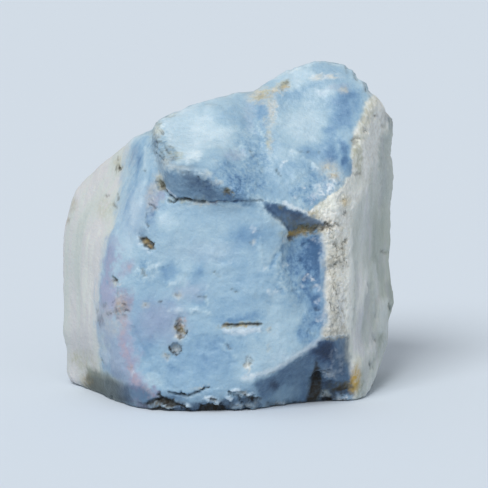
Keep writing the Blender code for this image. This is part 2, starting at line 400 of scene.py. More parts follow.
silky = field(SILKY_BAND, 5.0, 0.5)
hairlines = seams(9.0, 0.014, 45.0, 0.6) * (1 - broken) * (1 - front)
facet = field(CORNER_FACET, 2.0, 0.4, 1.0)
rough = strongest(
    marks(ROUGH_BLUE, 1.0, 1.0, edge=0.5), facet, ease(ripple(7.0, 2, 40.0), -0.1, 0.3) * (1 - front)
)
crust_cracks = seams(5.0, 0.035, 57.0, 0.5) * (1 - broken) * crust * ease(down, *CRACKED_CRUST)
crumbly = crust * (1 - 0.65 * ease(across, *WORN_CRUST_ACROSS) * ease(down, *WORN_CRUST_DOWN))

relief = chips(3.4, 5.0) * 0.28 + chips(1.5, 15.0) * 0.15 + ripple(0.8, 3, 18.0, roughness=0.7) * 0.04
relief += (chips(0.95, 25.0) * 0.26 + ripple(0.6, 2, 28.0) * 0.04) * rough
relief += (chips(7.0, 42.0, 0.06) * 0.8 + chips(2.4, 43.0) * 0.2) * (1 - front)
relief *= (1 - 0.7 * wall) * (1 - 0.6 * silky)
relief -= hairlines * 0.15
nibbled = ease(chips(1.6, 31.0, 0.3) + chips(0.8, 35.0, 0.3) * 0.6, 0.0, 0.5)
relief -= ridge * (1 - 0.5 * wall) * nibbled * 0.45
relief += (ripple(2.0, 4, 50.0, roughness=0.7) * 0.09 + chips(1.3, 55.0, 0.5) * 0.06) * crumbly
relief += ripple(0.45, 3, 58.0, roughness=0.7) * 0.045 * crumbly - crust_cracks * 0.16 * crumbly
relief += ripple(1.1, 3, 59.0, (0.5, 1, 1.5), 0.6, -0.5) * 0.09 * crumbly * below_gap
relief += ripple(2.6, 3, 60.0, (1, 1, 0.2)) * 0.06 * right_face + chips(2.6, 62.0) * 0.14 * right_face
relief += ripple(0.9, 3, 64.0, roughness=0.7) * (0.03 * right_face + 0.08 * lumpy_rock)
relief += chips(1.4, 66.0, 0.4) * 0.22 * lumpy_rock
relief += ripple(4.0, 2, 70.0, (1, 1, 0.2)) * 0.06 * left_wall + chips(4.5, 72.0) * 0.08 * left_wall
relief += line(CRUST_FOLD, 13, 0.95, 0.5, 0.8) * 0.3


# Cracks, pits and edges.
# A dark crack runs under the upper left block and opens to the right into a gap with earth in it.
# Small pits with rusty walls sit in the front break; the foot is split and has a deep cleft at its right.
CRACK = [(161, 186), (165, 190), (169, 194), (173, 198), (175, 199.5)]
CRACK_DEEP = [(175, 200), (179, 199), (185, 198.5), (191, 200), (197, 201.5), (204, 202)]
CRACK_END = [(200, 201.5), (222, 202.5), (230, 202), (238, 200.5), (250, 200), (262, 200)]
CRACK_FORK = [(169, 200.5), (173, 202), (177, 201)]
GAP_DIRT = [(290, 240), (292, 237.5), (296, 235.5), (303, 233.5), (310, 232), (320, 230), (332, 227)]
FRONT_RIM = [(259, 202), (266, 210), (277, 219), (284, 227), (287, 234), (286, 242)]
FRONT_RIM_LOW = [(284, 244), (277, 251), (271, 259), (267, 267)]
RIM_SHADOW = [(284, 248), (282, 250), (278, 254), (274, 261), (271, 267)]
SLIT = [(224, 325), (240, 324.8), (261, 324.4)]
SLIT_LIP = [(223, 330), (240, 329), (260, 330)]
FOOT_CRACK = [
    (170, 392), (176, 393.5), (182, 395), (186, 395.5), (192, 394), (198, 391.5), (203, 388.5), (208, 387.5),
]
FOOT_CREVICES = [
    [(146, 403.5), (152, 400.5), (158, 399), (165, 399.5), (173, 401.5), (180, 405.5), (188, 409)],
    [(159, 393), (161, 397), (168, 400)], [(150, 409), (160, 407), (172, 410)],
]
# The hollows are undercuts at the foot; their near-black is painted shadow.
FOOT_HOLLOWS = [
    [(154, 400), (160, 398), (172, 400), (178, 404), (170, 406), (160, 403)],
    [(196, 410), (201, 406), (208, 403.5), (217, 404), (225, 407), (231, 413), (194, 413)],
    [(314, 405), (320, 402), (330, 398), (335, 403), (333, 412), (312, 412)],
]
NODULES = [
    (153, 407, 8, 4, 1), (166, 406, 12, 4, 1), (188, 406, 9, 4, 1, 5), (209, 398, 11, 5, 1),
    (216, 401, 8, 4, 1), (228, 398, 10, 4, 1, 40), (238, 406, 12, 6, 1), (251, 406, 13, 6, 1),
    (247, 395, 12, 4, 1), (235, 390, 10, 3.5, 1), (341, 399, 17, 9, 1), (326, 394, 10, 6, 1),
    (281, 404, 9, 3, 1),
]
HEEL_CRACKS = [
    [(229, 393), (234, 395), (238, 398), (242, 401)], [(245, 398), (251, 399.5), (258, 399)],
    [(211, 398), (214, 399)], [(270, 404), (275, 405), (279, 404)], [(247, 402), (246, 409)],
    [(240, 392), (246, 397)], [(322, 391), (327, 396)], [(336, 398), (344, 399)], [(322, 370), (328, 370)],
]
LONG_GROOVE = [(133, 328), (138, 341), (143, 350), (148, 360), (153, 370), (158, 374)]
CLEFT = [
    (316.5, 359), (318.5, 367), (321, 376), (322.5, 385), (321.5, 393), (318, 400), (313, 403), (306, 402),
    (308, 395), (309.5, 386), (311.5, 376), (314.5, 367),
]
FACET_EDGES = [
    [(255, 124), (262, 135), (268, 150), (273, 167), (282, 186)], [(286, 150), (305, 158), (322, 171)],
    [(276, 96), (290, 90), (300, 85)], [(262, 203), (285, 207), (306, 213)], [(311, 66), (312, 75)],
    [(312, 75), (326, 74), (344, 76)], [(308, 86), (326, 92), (346, 93)],
    [(180, 160), (205, 160), (226, 163)], [(208, 288), (208, 308)], [(166, 312), (190, 310), (208, 311)],
    [(176, 258), (178, 284), (164, 284)], [(262, 262), (258, 250), (262, 238)],
    [(146, 262), (156, 268), (162, 264)],
]
FOLDS = [
    [(204, 336), (212, 344), (222, 341), (236, 349)], [(205, 352), (218, 349), (230, 356)],
    [(214, 362), (228, 364), (238, 360)], [(196, 344), (204, 358), (216, 370)], [(240, 338), (246, 352)],
    [(166, 366), (182, 372), (196, 370)], [(160, 262), (166, 274)], [(226, 276), (240, 282), (250, 278)],
    [(270, 284), (284, 292), (296, 292)], [(262, 300), (276, 304)], [(212, 256), (226, 262)],
    [(264, 268), (272, 262), (276, 256)], [(150, 342), (158, 356), (166, 366)],
]
# Each rib also gets a painted highlight where it stands out and painted shade where it sinks.
WALL_RIBS = [
    ([(350, 230), (350, 275), (349, 335)], 6, 0.8), ([(357, 262), (356, 300), (353, 332)], 4, -0.5),
    ([(366, 270), (364, 300), (361, 330)], 4, 0.5), ([(370, 285), (368, 315), (363, 342)], 5, -0.7),
    ([(377, 265), (377, 290), (374, 312)], 5, 0.6), ([(379, 246), (379, 256), (383, 262)], 3, -0.5),
    ([(384, 302), (383, 330)], 7, 1), ([(377, 300), (376, 318)], 3, -0.7),
    ([(388, 306), (392, 308)], 4, -0.8), ([(390, 284), (390, 299)], 7, -0.5),
    ([(389, 322), (386, 340), (379, 360), (371, 384), (366, 399)], 3.5, 0.8),
    ([(384, 333), (376, 353), (368, 373), (363, 393)], 4, -0.5), ([(357, 352), (352, 372)], 4, 0.4),
    ([(366, 152), (367, 200), (362, 238)], 6, 0.4), ([(384, 140), (384, 175), (382, 205)], 7, -0.4),
    ([(372, 335), (377, 341)], 4, -0.6), ([(369, 362), (373, 368)], 3, -0.6),
    ([(378, 345), (366, 352)], 6, 0.4), ([(386, 117), (391, 127)], 5, -0.9),
]
CLEFT_RIDGES = [
    [(331, 352), (332, 360), (330, 370)], [(336, 350), (338, 357), (343, 354)], [(327, 375), (337, 371)],
    [(341, 360), (340, 372)],
]
ROCK_CRACKS = [
    [(316, 219), (322, 223), (330, 227)], [(332, 225), (340, 225)], [(342, 212), (346, 219)],
    [(320, 222), (328, 226), (334, 228)], [(326, 268), (333, 266), (338, 263)],
    [(346, 238), (343, 248), (345, 258)], [(333, 243), (341, 248)], [(338, 255), (341, 262)],
    [(358, 138), (366, 141)], [(335, 286), (338, 294)], [(331, 305), (337, 309)],
]
TICKS = [
    [(160, 131), (164, 135)], [(154, 133), (155.5, 138), (157, 143)], [(156, 147), (160, 150), (164, 155)],
    [(166, 146), (168, 149), (170, 153)], [(155, 153), (159, 156), (163, 160)], [(161, 141), (166, 145)],
    [(149, 203), (153, 205), (156, 207.5)], [(162, 130), (165, 134)], [(168, 117.5), (175, 117)],
    [(144, 171), (145, 172)], [(146, 213), (145.5, 218)], [(352, 173.8), (360, 173.5)],
    [(113, 276), (116, 280)], [(117, 194), (118, 200)], [(114, 204), (116, 208)], [(104, 195), (108, 195)],
    [(117, 288), (117, 296)], [(115, 309), (116, 312)], [(97, 321), (103, 320)], [(101, 361), (103, 363)],
    [(142, 269), (146, 276)], [(277, 170), (280, 176)], [(215, 272), (222, 277)], [(231, 289), (237, 292)],
    [(225, 344), (231, 350)], [(196, 295), (207, 298)], [(300, 152), (302, 152)], [(307, 152), (308, 152)],
    [(318, 152), (319, 152)], [(250, 151), (253, 156)], [(373, 116), (376, 117)], [(380, 125), (383, 127)],
    [(346, 69), (347, 73)], [(352, 73), (357, 80)], [(363, 82), (366, 92)], [(385, 115), (390, 124)],
    [(374, 340), (376, 341)], [(370, 363), (371, 369)], [(384, 251), (387, 251)], [(388, 303), (391, 309)],
    [(181, 171), (190, 172)], [(197, 176), (199, 181)], [(268, 375), (276, 371)], [(145, 220), (147, 226)],
]
PITS = [
    (146.5, 243, 17, 8, 0.6, 40), (389, 251, 6, 5, 0.3), (374, 115, 5, 5, 0.12), (381, 126, 4, 4, 0.25),
    (365, 130, 4, 3, 0.2), (355, 141, 7, 7, 0.35), (344, 244, 3, 9, 0.3), (336, 245, 7, 3, 0.3, 20),
    (138, 236, 5, 3, 0.2, 50), (180, 326, 8, 16, 0.35, 5), (182, 335, 7, 6, 0.3), (175.5, 349, 9, 10, 0.35),
    (168, 357, 5, 4, 0.3), (248, 363, 6, 10, 0.25, 10), (160, 185, 7, 11, 0.5, -35),
    (115.5, 279, 6, 5, 0.3, 20), (119.5, 169, 4, 4, 0.3), (208, 184, 9, 8, 0.15), (179, 296, 7, 3, 0.2),
    (146, 305, 6, 3, 0.2), (186, 333, 3, 4, 0.4), (122, 304, 4, 3, 0.3, 20), (126, 312, 4, 3, 0.3, 20),
    (317, 309, 4, 6, 0.4), (365, 130, 3, 4, 0.25), (342, 199, 7, 12, 0.25, 20), (229, 191, 8, 4, 0.3),
    (305, 278, 6, 5, 0.3), (315, 288, 7, 4, 0.25), (327, 388, 10, 14, 0.3), (270, 349, 4, 9, 0.15),
]


def along(paths, width, edge=0.8, ragged=0.3, jitter=0.6):
    """Several lines of the picture together."""
    return strongest(*(line(path, width, edge, ragged, jitter) for path in paths))


def streaks(lines, ragged, jitter):
    """The sum of several soft lines; each has its path, its width and how much it adds."""
    return sum(line(path, width, 0.9, ragged, jitter) * change for path, width, change in lines)


ticks = along(TICKS, 1.8) * (0.4 + 0.6 * broken)
rock_cracks = along(ROCK_CRACKS, 1.8, ragged=0.6, jitter=1.6) * (0.3 + 0.7 * broken)
heel_cracks = along(HEEL_CRACKS, 3.0, jitter=1.6) * (0.4 + 0.6 * broken)
relief -= line(CRACK, 2.0) * 0.4 + line(CRACK_DEEP, 2.6) * (0.35 + 0.25 * broken)
relief -= line(CRACK_FORK, 1.8, 0.6, 0.2, 0.3) * 0.35 + line(CRACK_END, 2.2) * 0.12
relief -= line(GAP_DIRT, 6, 0.8, 0.8, 2.0) * 0.3
relief += line(FRONT_RIM, 3.0) * 0.1 + along(FACET_EDGES, 4.0, 0.9, 0.5, 1.2) * 0.12 * (0.4 + 0.6 * broken)
folds = along(FOLDS, 4.0, 0.9, 0.5, 1.2) * (0.3 + 0.7 * broken)
relief -= folds * 0.15 + line(RIM_SHADOW, 3.5) * 0.15
relief += line(SLIT_LIP, 4.5, 0.8) * 0.08 - line(SLIT, 2.2, 0.6, 0.1, 0.2) * 0.35
relief -= line(FOOT_CRACK, 2.6, jitter=1.2) * (0.3 + 0.3 * broken)
crevices = along(FOOT_CREVICES, 3.6, 0.8, 0.3, 1.0)
hollows = strongest(*(field(path, 1.6, 0.4, 1.2) for path in FOOT_HOLLOWS))
nodules = marks(NODULES, 0.3, 1.2, edge=0.6)
relief += nodules * 0.3 - crevices * 0.4 - hollows * 0.45
ribs = streaks(WALL_RIBS, 0.5, 0.8)
cleft = field(CLEFT, 2.6, 0.2, 0.6)
relief += ribs * 0.2 - line(LONG_GROOVE, 4.0) * 0.2 - cleft * 0.15
relief += (along(CLEFT_RIDGES, 3.0, ragged=0.6, jitter=1.5) - ticks - rock_cracks) * 0.2 - heel_cracks * 0.3
for x, y, width, height, sink, *turn in PITS:
    relief -= oval(x, y, width, height, *turn, edge=0.45, ragged=0.3, jitter=1.4) * sink


# Milk and depth of the blue, with painted light along its edges.
# The opal is clouded by fine silica: thick clouds look milky white, clear places deep blue.
# Lighter lines on ridges, rims and facet edges are painted highlight; darker ones in creases, folds and under
# rims are painted shade.
# After its size each cloud has its milk, from the deepest blue at 0 or just below to white milk at 1.
CLOUDS = [
    (240, 130, 190, 110, 0.52), (200, 260, 130, 120, 0.56), (230, 340, 120, 80, 0.47),
    (128, 250, 44, 240, 0.56), (200, 134, 84, 56, 0.82, -8), (172, 132, 34, 36, 0.72),
    (226, 160, 60, 26, 0.5), (228, 181, 70, 34, 0.33, 8), (256, 160, 34, 60, 0.38), (230, 116, 28, 22, 0.44),
    (243, 126, 14, 14, 0.46), (238, 101, 36, 12, 0.56, -12), (262, 111, 16, 16, 0.3),
    (294, 94, 32, 14, 0.32, -8), (304, 124, 54, 44, 0.74), (296, 76, 36, 20, 0.76, -25),
    (330, 92, 40, 12, 0.74), (317, 84, 11, 8, 0.5, 10), (356, 84, 20, 14, 0.6, 40),
    (359, 114, 11, 40, 0.66, 20), (350, 100, 30, 22, 0.26, 10), (345, 112, 28, 36, 0.2, 10),
    (347, 120, 16, 16, 0.28, 30), (266, 119, 11, 14, 0.38), (334, 132, 16, 14, 0.28),
    (346, 133, 12, 10, 0.5), (330, 153, 18, 26, 0.18, 10), (344, 146, 13, 10, 0.2, 20),
    (343, 159, 12, 16, 0.1), (347, 169, 10, 10, 0.3), (338, 155, 4, 34, 0.42), (310, 153, 24, 12, 0.34),
    (300, 184, 46, 36, 0.42), (299, 204, 16, 12, 0.66), (270, 182, 34, 34, 0.42), (254, 180, 18, 14, 0.28),
    (250, 150, 12, 14, 0.54), (284, 156, 26, 14, 0.66, 20), (312, 201, 12, 12, 0.4), (170, 222, 26, 18, 0.7),
    (206, 240, 50, 24, 0.6), (250, 236, 48, 24, 0.34), (242, 237, 12, 12, 0.28), (169, 272, 18, 24, 0.3, 12),
    (183, 272, 8, 32, 0.62), (198, 274, 16, 20, 0.32, 20), (252, 285, 60, 60, 0.46),
    (276, 278, 26, 40, 0.46), (290, 285, 26, 50, 0.38), (293, 262, 14, 30, 0.34), (282, 325, 34, 60, 0.64),
    (262, 355, 50, 30, 0.66, -25), (143, 348, 14, 64, 0.28, -20), (205, 358, 50, 40, 0.34),
    (182, 376, 40, 22, 0.42), (152, 380, 24, 12, 0.64, 10), (120, 250, 26, 36, 0.66),
    (138, 151, 16, 30, 0.38, 5), (107, 275, 10, 90, 0.4, 3), (203, 302, 14, 16, 0.32),
    (193, 397, 26, 12, 0.5), (240, 317, 38, 8, 0.2), (165, 303, 16, 10, 0.34), (215, 215, 70, 16, 0.54),
    (262, 262, 24, 20, 0.54), (226, 305, 36, 14, 0.44, 20), (150, 290, 16, 16, 0.62),
    (160, 150, 14, 22, 0.42, -15), (150, 320, 40, 60, 0.36), (150, 214, 13, 24, 0.34),
    (160, 365, 30, 16, 0.4, 20), (203, 128, 22, 16, 0.84), (192, 154, 20, 10, 0.92),
]
SILKY_STREAKS = [
    ([(142, 138), (141, 152), (138, 164)], 7, -0.08), ([(139, 160), (135, 182), (127, 210)], 5, -0.1),
    ([(134, 145), (131, 165), (126, 190)], 4, -0.08),
    ([(148, 150), (145, 175), (139, 205), (132, 222)], 5, 0.12),
    ([(128, 170), (124, 200), (120, 222)], 4, 0.12), ([(136, 190), (131, 215)], 3, 0.12),
    ([(145.5, 148), (144, 168)], 2.5, 0.18), ([(140, 158), (136, 178), (130, 198), (121, 218)], 2.5, -0.08),
    ([(151, 170), (147, 195), (141, 215)], 2, -0.08), ([(132, 180), (126, 208)], 3, -0.05),
]
# Some streaks are the blue's own tone. The dark ones along the crack's end and beside the lower folds are
# painted shade; the light ones along the gap's upper rim, the plateau's top edge, step edges, fold edges and
# facet edges are painted highlight.
STREAKS_AND_EDGE_LIGHT = [
    ([(281, 262), (290, 258)], 3, -0.15), ([(274, 271), (288, 268)], 3, -0.12),
    ([(268, 275), (277, 279)], 2.5, -0.12), ([(284, 281), (295, 284)], 3, -0.14),
    ([(280, 292), (300, 296)], 4, -0.1), ([(266, 288), (284, 289)], 3, -0.08),
    ([(283, 266), (292, 266)], 2.5, 0.16), ([(276, 285), (288, 290)], 3, 0.1),
    ([(270, 302), (290, 303)], 4, -0.08), ([(112, 235), (107, 262), (104, 300)], 6, -0.14),
    ([(125, 320), (131, 345), (140, 362), (150, 378)], 6, 0.16), ([(104, 335), (106, 362)], 5, 0.2),
    ([(338, 132), (336, 150), (337, 172)], 3, 0.16), ([(352, 100), (353, 125)], 4, 0.1),
    ([(258, 126), (262, 135), (268, 150), (272, 165)], 3, 0.16),
    ([(288, 150), (305, 158), (319, 170)], 4, 0.16),
    ([(248, 195), (262, 199), (275, 202), (289, 206), (304, 212)], 3.5, 0.3),
    ([(166, 313), (180, 311), (195, 309), (210, 312)], 3.5, 0.22), ([(162, 284), (174, 284)], 4, 0.25),
    ([(137, 268), (146, 270), (152, 266), (160, 264)], 2.5, 0.3),
    ([(206, 202.5), (224, 203), (240, 201.5)], 3, -0.5), ([(146, 274), (144, 281)], 2.5, 0.3),
    ([(208, 288), (208, 306)], 2.5, 0.12), ([(180, 205), (200, 206), (225, 207), (250, 205)], 3, 0.14),
    ([(150, 330), (156, 345), (165, 358), (178, 368)], 3, -0.14),
    ([(210, 332), (222, 340), (236, 338)], 3, -0.14), ([(212, 352), (224, 348), (236, 354)], 3, 0.14),
]
HOLLOW = [
    (291, 241), (300, 238), (310, 234), (320, 232), (324, 245), (326, 280), (326, 315), (320, 335),
    (312, 342), (303, 344), (298, 340), (297, 330), (300, 321), (305, 314), (309, 303), (305, 294),
    (298, 289), (294, 278), (292, 268), (288, 262), (287, 250),
]
HOLLOW_CLOUDS = [
    (310, 259, 26, 32, -0.12), (315, 302, 12, 12, 0.08), (311, 318, 16, 14, 0.24), (297, 250, 14, 18, 0.28),
    (297, 272, 14, 26, 0.33), (312, 274, 9, 9, 0.02), (316, 290, 14, 12, 0.24), (322, 275, 5, 80, 0.28),
    (307, 332, 24, 22, 0.32),
]
SLAB = [(311, 65), (320, 62), (345, 63), (347, 70), (344, 75), (326, 74), (312, 74)]

milk_and_painted_light = 0.52 + ripple(9.0, 4, 80.0, (1, 1, 0.6), 0.6, 0.4) * 0.34
milk_and_painted_light += ripple(2.6, 4, 85.0, (1, 1, 0.4), 0.65, 0.4) * 0.16
milk_front = np.full(len(place), 0.5)
for x, y, width, height, value, *turn in CLOUDS:
    share = oval(x, y, width, height, *turn, edge=0.7, ragged=1.3, jitter=1.4)
    milk_front += (value - milk_front) * share
hollow = field(HOLLOW, 5.0, 0.6, 1.5)
milk_front += (0.15 - milk_front) * hollow
for x, y, width, height, value, *turn in HOLLOW_CLOUDS:
    share = oval(x, y, width, height, *turn, edge=0.6, ragged=0.6, jitter=1.4) * hollow
    milk_front += (value - milk_front) * share
milk_front += (0.52 - milk_front) * field(SLAB, 1.5, 0.3, 0.8)
milk_front += (0.44 - milk_front) * facet * 0.75
milk_and_painted_light = milk_and_painted_light * (1 - front) + milk_front * front
uneven = 0.45 + 0.55 * strongest(rough, 1 - front)
milk_and_painted_light += (ripple(2.2, 4, 88.0, roughness=0.7) * 0.11 + ripple(0.8, 3, 89.0, roughness=0.7) * 0.08) * uneven
milk_and_painted_light += streaks(STREAKS_AND_EDGE_LIGHT, 0.6, 1.2) * (0.2 + 0.8 * broken) + streaks(SILKY_STREAKS, 0.3, 0.2)
milk_and_painted_light += ripple(0.9, 3, 96.0, (1, 1, 0.08), 0.7, 0.28) * 0.11 * silky
# Painted highlight along the facet edges and painted shade in the folds.
milk_and_painted_light += along(FACET_EDGES, 3.0, 0.9, 0.5, 1.2) * 0.12 * broken - folds * 0.1
# Painted highlight on the slab's front rim and lower rim, and painted shadow under it.
milk_and_painted_light += line(FRONT_RIM, 4.5, 0.8) * 0.2 + line(FRONT_RIM_LOW, 5.0, 0.8) * 0.14 - line(RIM_SHADOW, 4.0) * 0.25
# Painted highlight on ridges and painted shade in creases.
milk_and_painted_light += ridge * 0.2 - crease * 0.14


# Painted shade in slate and navy.
# Where the blue turns down or back into a gap it looks like slate, and its deepest corners nearly navy; this
# is painted shade, multiplied into the colour.
UNDERSIDE = [
    (163, 187), (160, 178), (165, 170), (182, 169), (193, 172), (200, 181), (208, 180), (213, 187),
    (225, 191), (235, 195), (246, 197.5), (262, 200), (225, 202), (175, 199),
]
UNDERSIDE_DEEP = [(180, 170), (196, 172), (204, 180), (214, 186), (212, 196), (196, 190), (184, 180)]
GAP = [
    (260, 199), (270, 203), (283, 204.5), (290, 209.5), (298, 210.5), (307, 215), (313, 215.5), (321, 219),
    (331, 227.5), (310, 231), (296, 236), (290, 242), (288, 231), (281, 220), (268, 210),
]
GAP_DEEP = [(262, 201), (290, 210), (312, 220), (318, 226), (300, 228), (284, 220)]
GAP_EDGE_SHADOW = [(266, 206), (273, 213), (282, 221), (287, 229)]
CHAMFER = [
    (252, 383), (262, 380), (273, 376), (280, 371), (300, 356), (320, 342), (330, 339), (347, 337),
    (350, 360), (353, 380), (354, 394), (335, 406), (300, 409), (266, 409), (260, 398),
]
CHAMFER_DEEP_SHADE = [(310, 350), (322, 342), (333, 341), (335, 352), (331, 363), (322, 360)]
CLEFT_SIDE = [(322, 378), (348, 384), (345, 393), (334, 404), (322, 404)]
HEEL_SHADE = [(90, 371), (101, 376), (118, 382), (129, 386), (132, 406), (112, 402), (94, 396), (87, 392)]
HEEL_TOP = [(128, 384), (141, 384), (151, 393), (152, 402), (130, 400)]
HEEL = [
    (87, 365), (97, 370), (108, 375), (120, 380), (131, 384), (141, 383), (151, 391), (153, 401), (190, 402),
    (240, 398), (262, 404), (262, 414), (142, 416), (112, 408), (94, 402), (85, 392),
]
SOLE_SHADE = [(150, 404), (190, 400), (262, 402), (262, 414), (150, 414)]
CHAMFER_LIGHT = (281, 397, 30, 15, -30)
CHAMFER_NOTCH = (274.5, 386, 8, 10)
LOWER_CRUST = (334, 314, 34, 56)
HEEL_SHADE_SPAN = (90, 112)
DEEP_SHADE_SPOTS = [(299, 217, 16, 10, 0.6, 30), (209, 197, 28, 9, 0.4, 8), (339, 360, 18, 44, 0.4)]
WALL_SHADES = [(366, 322, 17, 70, 0.4, 12), (381, 262, 12, 40, 0.2)]
SHADED_SPOTS = [
    (152, 202, 15, 52, 0.3, 10), (124, 302, 12, 26, 0.3), (80, 350, 26, 40, 0.2), (175, 397, 24, 9, 0.8, 8),
    (197, 396, 26, 12, 0.35), (206, 195, 22, 9, 0.8, 8), (226, 196, 16, 8, 0.9, 15),
    (175.5, 349, 9, 10, 0.45), (117, 374, 30, 14, 0.5, 20), (118, 356, 26, 50, 0.12, -12),
    (152, 392, 9, 12, 0.6, -35), (141, 232, 13, 10, 0.5, 40), (388, 121, 9, 16, 1, -30),
    (181, 166, 34, 7, 0.5, 6), (301, 394, 10, 16, 0.9), (333, 262, 22, 9, 0.45), (370, 236, 26, 66, 0.3),
    (363, 380, 14, 44, 0.4, 12), (380, 345, 14, 30, 0.25, 20),
]

shade = strongest(
    field(UNDERSIDE, 3.0, 0.6, 2.2) * 0.65,
    field(GAP, 2.4, 0.4) * 0.95,
    field(CHAMFER, 3.5, 0.5, 1.2) * (1.05 - 0.6 * oval(*CHAMFER_LIGHT, edge=0.8)),
    field(HEEL, 3.5, 0.8, 0.4) * 0.85,
) * (0.8 + 0.2 * patchy)
# Painted navy shade on the chamfer's deepest, downward-facing corner; it also deepens the blue there.
painted_navy_shade = field(CHAMFER_DEEP_SHADE, 7.0, 0.4)
# Painted shade on the heel, where the bottom left turns under.
heel_shade = field(HEEL_SHADE, 4.0, 0.5, 0.3)
shade_deep = strongest(
    painted_navy_shade * 0.75,
    oval(*CHAMFER_NOTCH, edge=0.7, ragged=0.3) * 0.9,
    field(UNDERSIDE_DEEP, 6.0, 1.0, 2.5) * 0.6,
    field(GAP_DEEP, 4, 0.5, 2.0) * 0.22,
    line(GAP_EDGE_SHADOW, 4, 0.9, 0.5) * 0.6,
    marks(DEEP_SHADE_SPOTS, 1.0, 1.0, edge=0.8),
    field(CLEFT_SIDE, 5, 1.0, 2.0) * 0.8,
    field(SOLE_SHADE, 4, 1, 2) * 0.5,
    heel_shade * (0.25 + 0.3 * ease(across, *HEEL_SHADE_SPAN)),
) * (1 - nodules)
# More painted shade on the heel, in the right face's grooves and patches, on the corner facet and at single
# spots; the lower crust is darkened towards the bottom.
shade = strongest(
    shade,
    heel_shade * 0.95,
    oval(*LOWER_CRUST, edge=0.9) * crust * (0.2 + 0.25 * patchy),
    marks(WALL_SHADES, 1.0, 1.0, edge=0.5),
    # Painted shade in the grooves between the ribs.
    np.clip(-ribs, 0, 1) * 0.65 * right_wall,
    facet * 0.12,
    marks(SHADED_SPOTS, 1.0, 1.0, edge=0.9),
    field(HEEL_TOP, 3.0, 0.5) * 0.95,
) * (1 - nodules * 0.9)
# Where shade is painted the blue is also made deeper: most in the gap and on the navy corner, a little
# elsewhere.
milk_and_painted_light += (0.26 - milk_and_painted_light) * field(GAP, 2.0, 0.4) * 0.8
milk_and_painted_light -= shade * 0.1 + painted_navy_shade * 0.5 + shade_deep * 0.05


# Colours that came later.
# Iron and clay came in along the breaks: they leave lilac and pink tints, tan, olive and cream grit,
# rust in the pits and earth in the cracks; bruised edges and fresh grains are white.
# The dirt mask also paints shadow into the cracks, crevices, cleft and hollows under the foot and along the
# bottom edge, and the white mask also paints highlights on lit lips, rims and ridges.
LILAC = [
    (108, 285, 13, 90, 0.9, 3), (124, 302, 13, 24, 1), (110, 335, 12, 50, 0.5), (117, 360, 26, 50, 0.5, -12),
    (154, 390, 8, 10, 0.9, -40), (142, 403, 20, 7, 0.8, 15), (126, 266, 10, 14, 0.6, 30),
    (128, 352, 17, 64, 0.95, -12), (158, 322, 46, 44, 0.5), (190, 292, 30, 16, 0.35),
    (134, 380, 18, 16, 0.9), (335, 90, 30, 8, 0.2), (156, 197, 16, 14, 0.7), (236, 154, 12, 10, 0.3),
    (250, 118, 8, 30, 0.2), (205, 250, 60, 20, 0.12), (132, 215, 22, 60, 0.2, 12),
    (152, 196, 18, 26, 0.3, 20), (148, 215, 11, 24, 0.15),
]
TAN = [
    (334, 338.5, 26, 3, 0.8), (300, 218, 26, 8, 0.35, 15), (326, 222, 14, 8, 0.4), (261, 95, 24, 13, 1, -10),
    (276, 91, 15, 6, 1, -10), (273, 112, 6, 28, 0.55, 5), (268, 103, 14, 7, 0.6, 10), (268, 122, 12, 8, 0.3),
    (269, 138, 5, 26, 0.5, -8), (318, 77, 12, 4, 0.6), (334, 77, 12, 3, 0.7), (343, 92, 9, 7, 0.6),
    (327, 166, 9, 5, 0.6, 10), (335, 177, 9, 8, 0.6, 40), (269, 348, 3, 9, 0.6), (248, 364, 7, 11, 0.6),
    (253, 242, 4, 6, 0.4), (153, 207, 10, 6, 0.4, 30), (119, 165, 9, 14, 0.5), (152, 191, 10, 18, 0.45, 30),
    (151, 207, 7, 10, 0.3), (159, 180, 9, 16, 0.6, -20), (176, 349, 7, 7, 0.45), (129, 160, 14, 34, 0.24, 8),
    (167, 358, 8, 5, 0.6), (331, 171, 24, 16, 0.5, 45), (337, 180, 8, 6, 0.6), (180, 330, 13, 20, 0.5),
    (145, 305, 8, 5, 0.6), (179, 296, 10, 5, 0.5), (270, 330, 5, 4, 0.5), (166, 163, 16, 12, 0.4, -30),
    (314, 214, 16, 6, 0.6, 20), (206, 174, 12, 8, 0.4), (151, 202, 12, 16, 0.3, 20), (106, 313, 14, 18, 0.3),
    (114, 326, 16, 18, 0.35), (102, 342, 9, 30, 0.25), (289.5, 233, 3.5, 6, 0.6, 10),
    (305, 234, 8, 3, 0.7, -15), (240, 395, 10, 6, 0.5), (334, 260, 20, 12, 0.8), (339, 331, 18, 11, 0.6),
    (336, 285, 26, 90, 0.25), (216, 183, 12, 6, 0.4), (205, 203.5, 30, 3, 0.6), (174, 167, 24, 4, 0.5),
    (281, 86, 12, 8, 0.6, -30), (122, 305, 14, 20, 0.4), (263, 99, 22, 10, 0.6, -10),
    (283, 89, 14, 7, 0.6, -30), (272, 107, 7, 14, 0.6, 15), (118, 165, 8, 14, 0.5), (329, 373, 10, 4, 0.4),
    (200, 387, 14, 2, 0.6, -20),
]
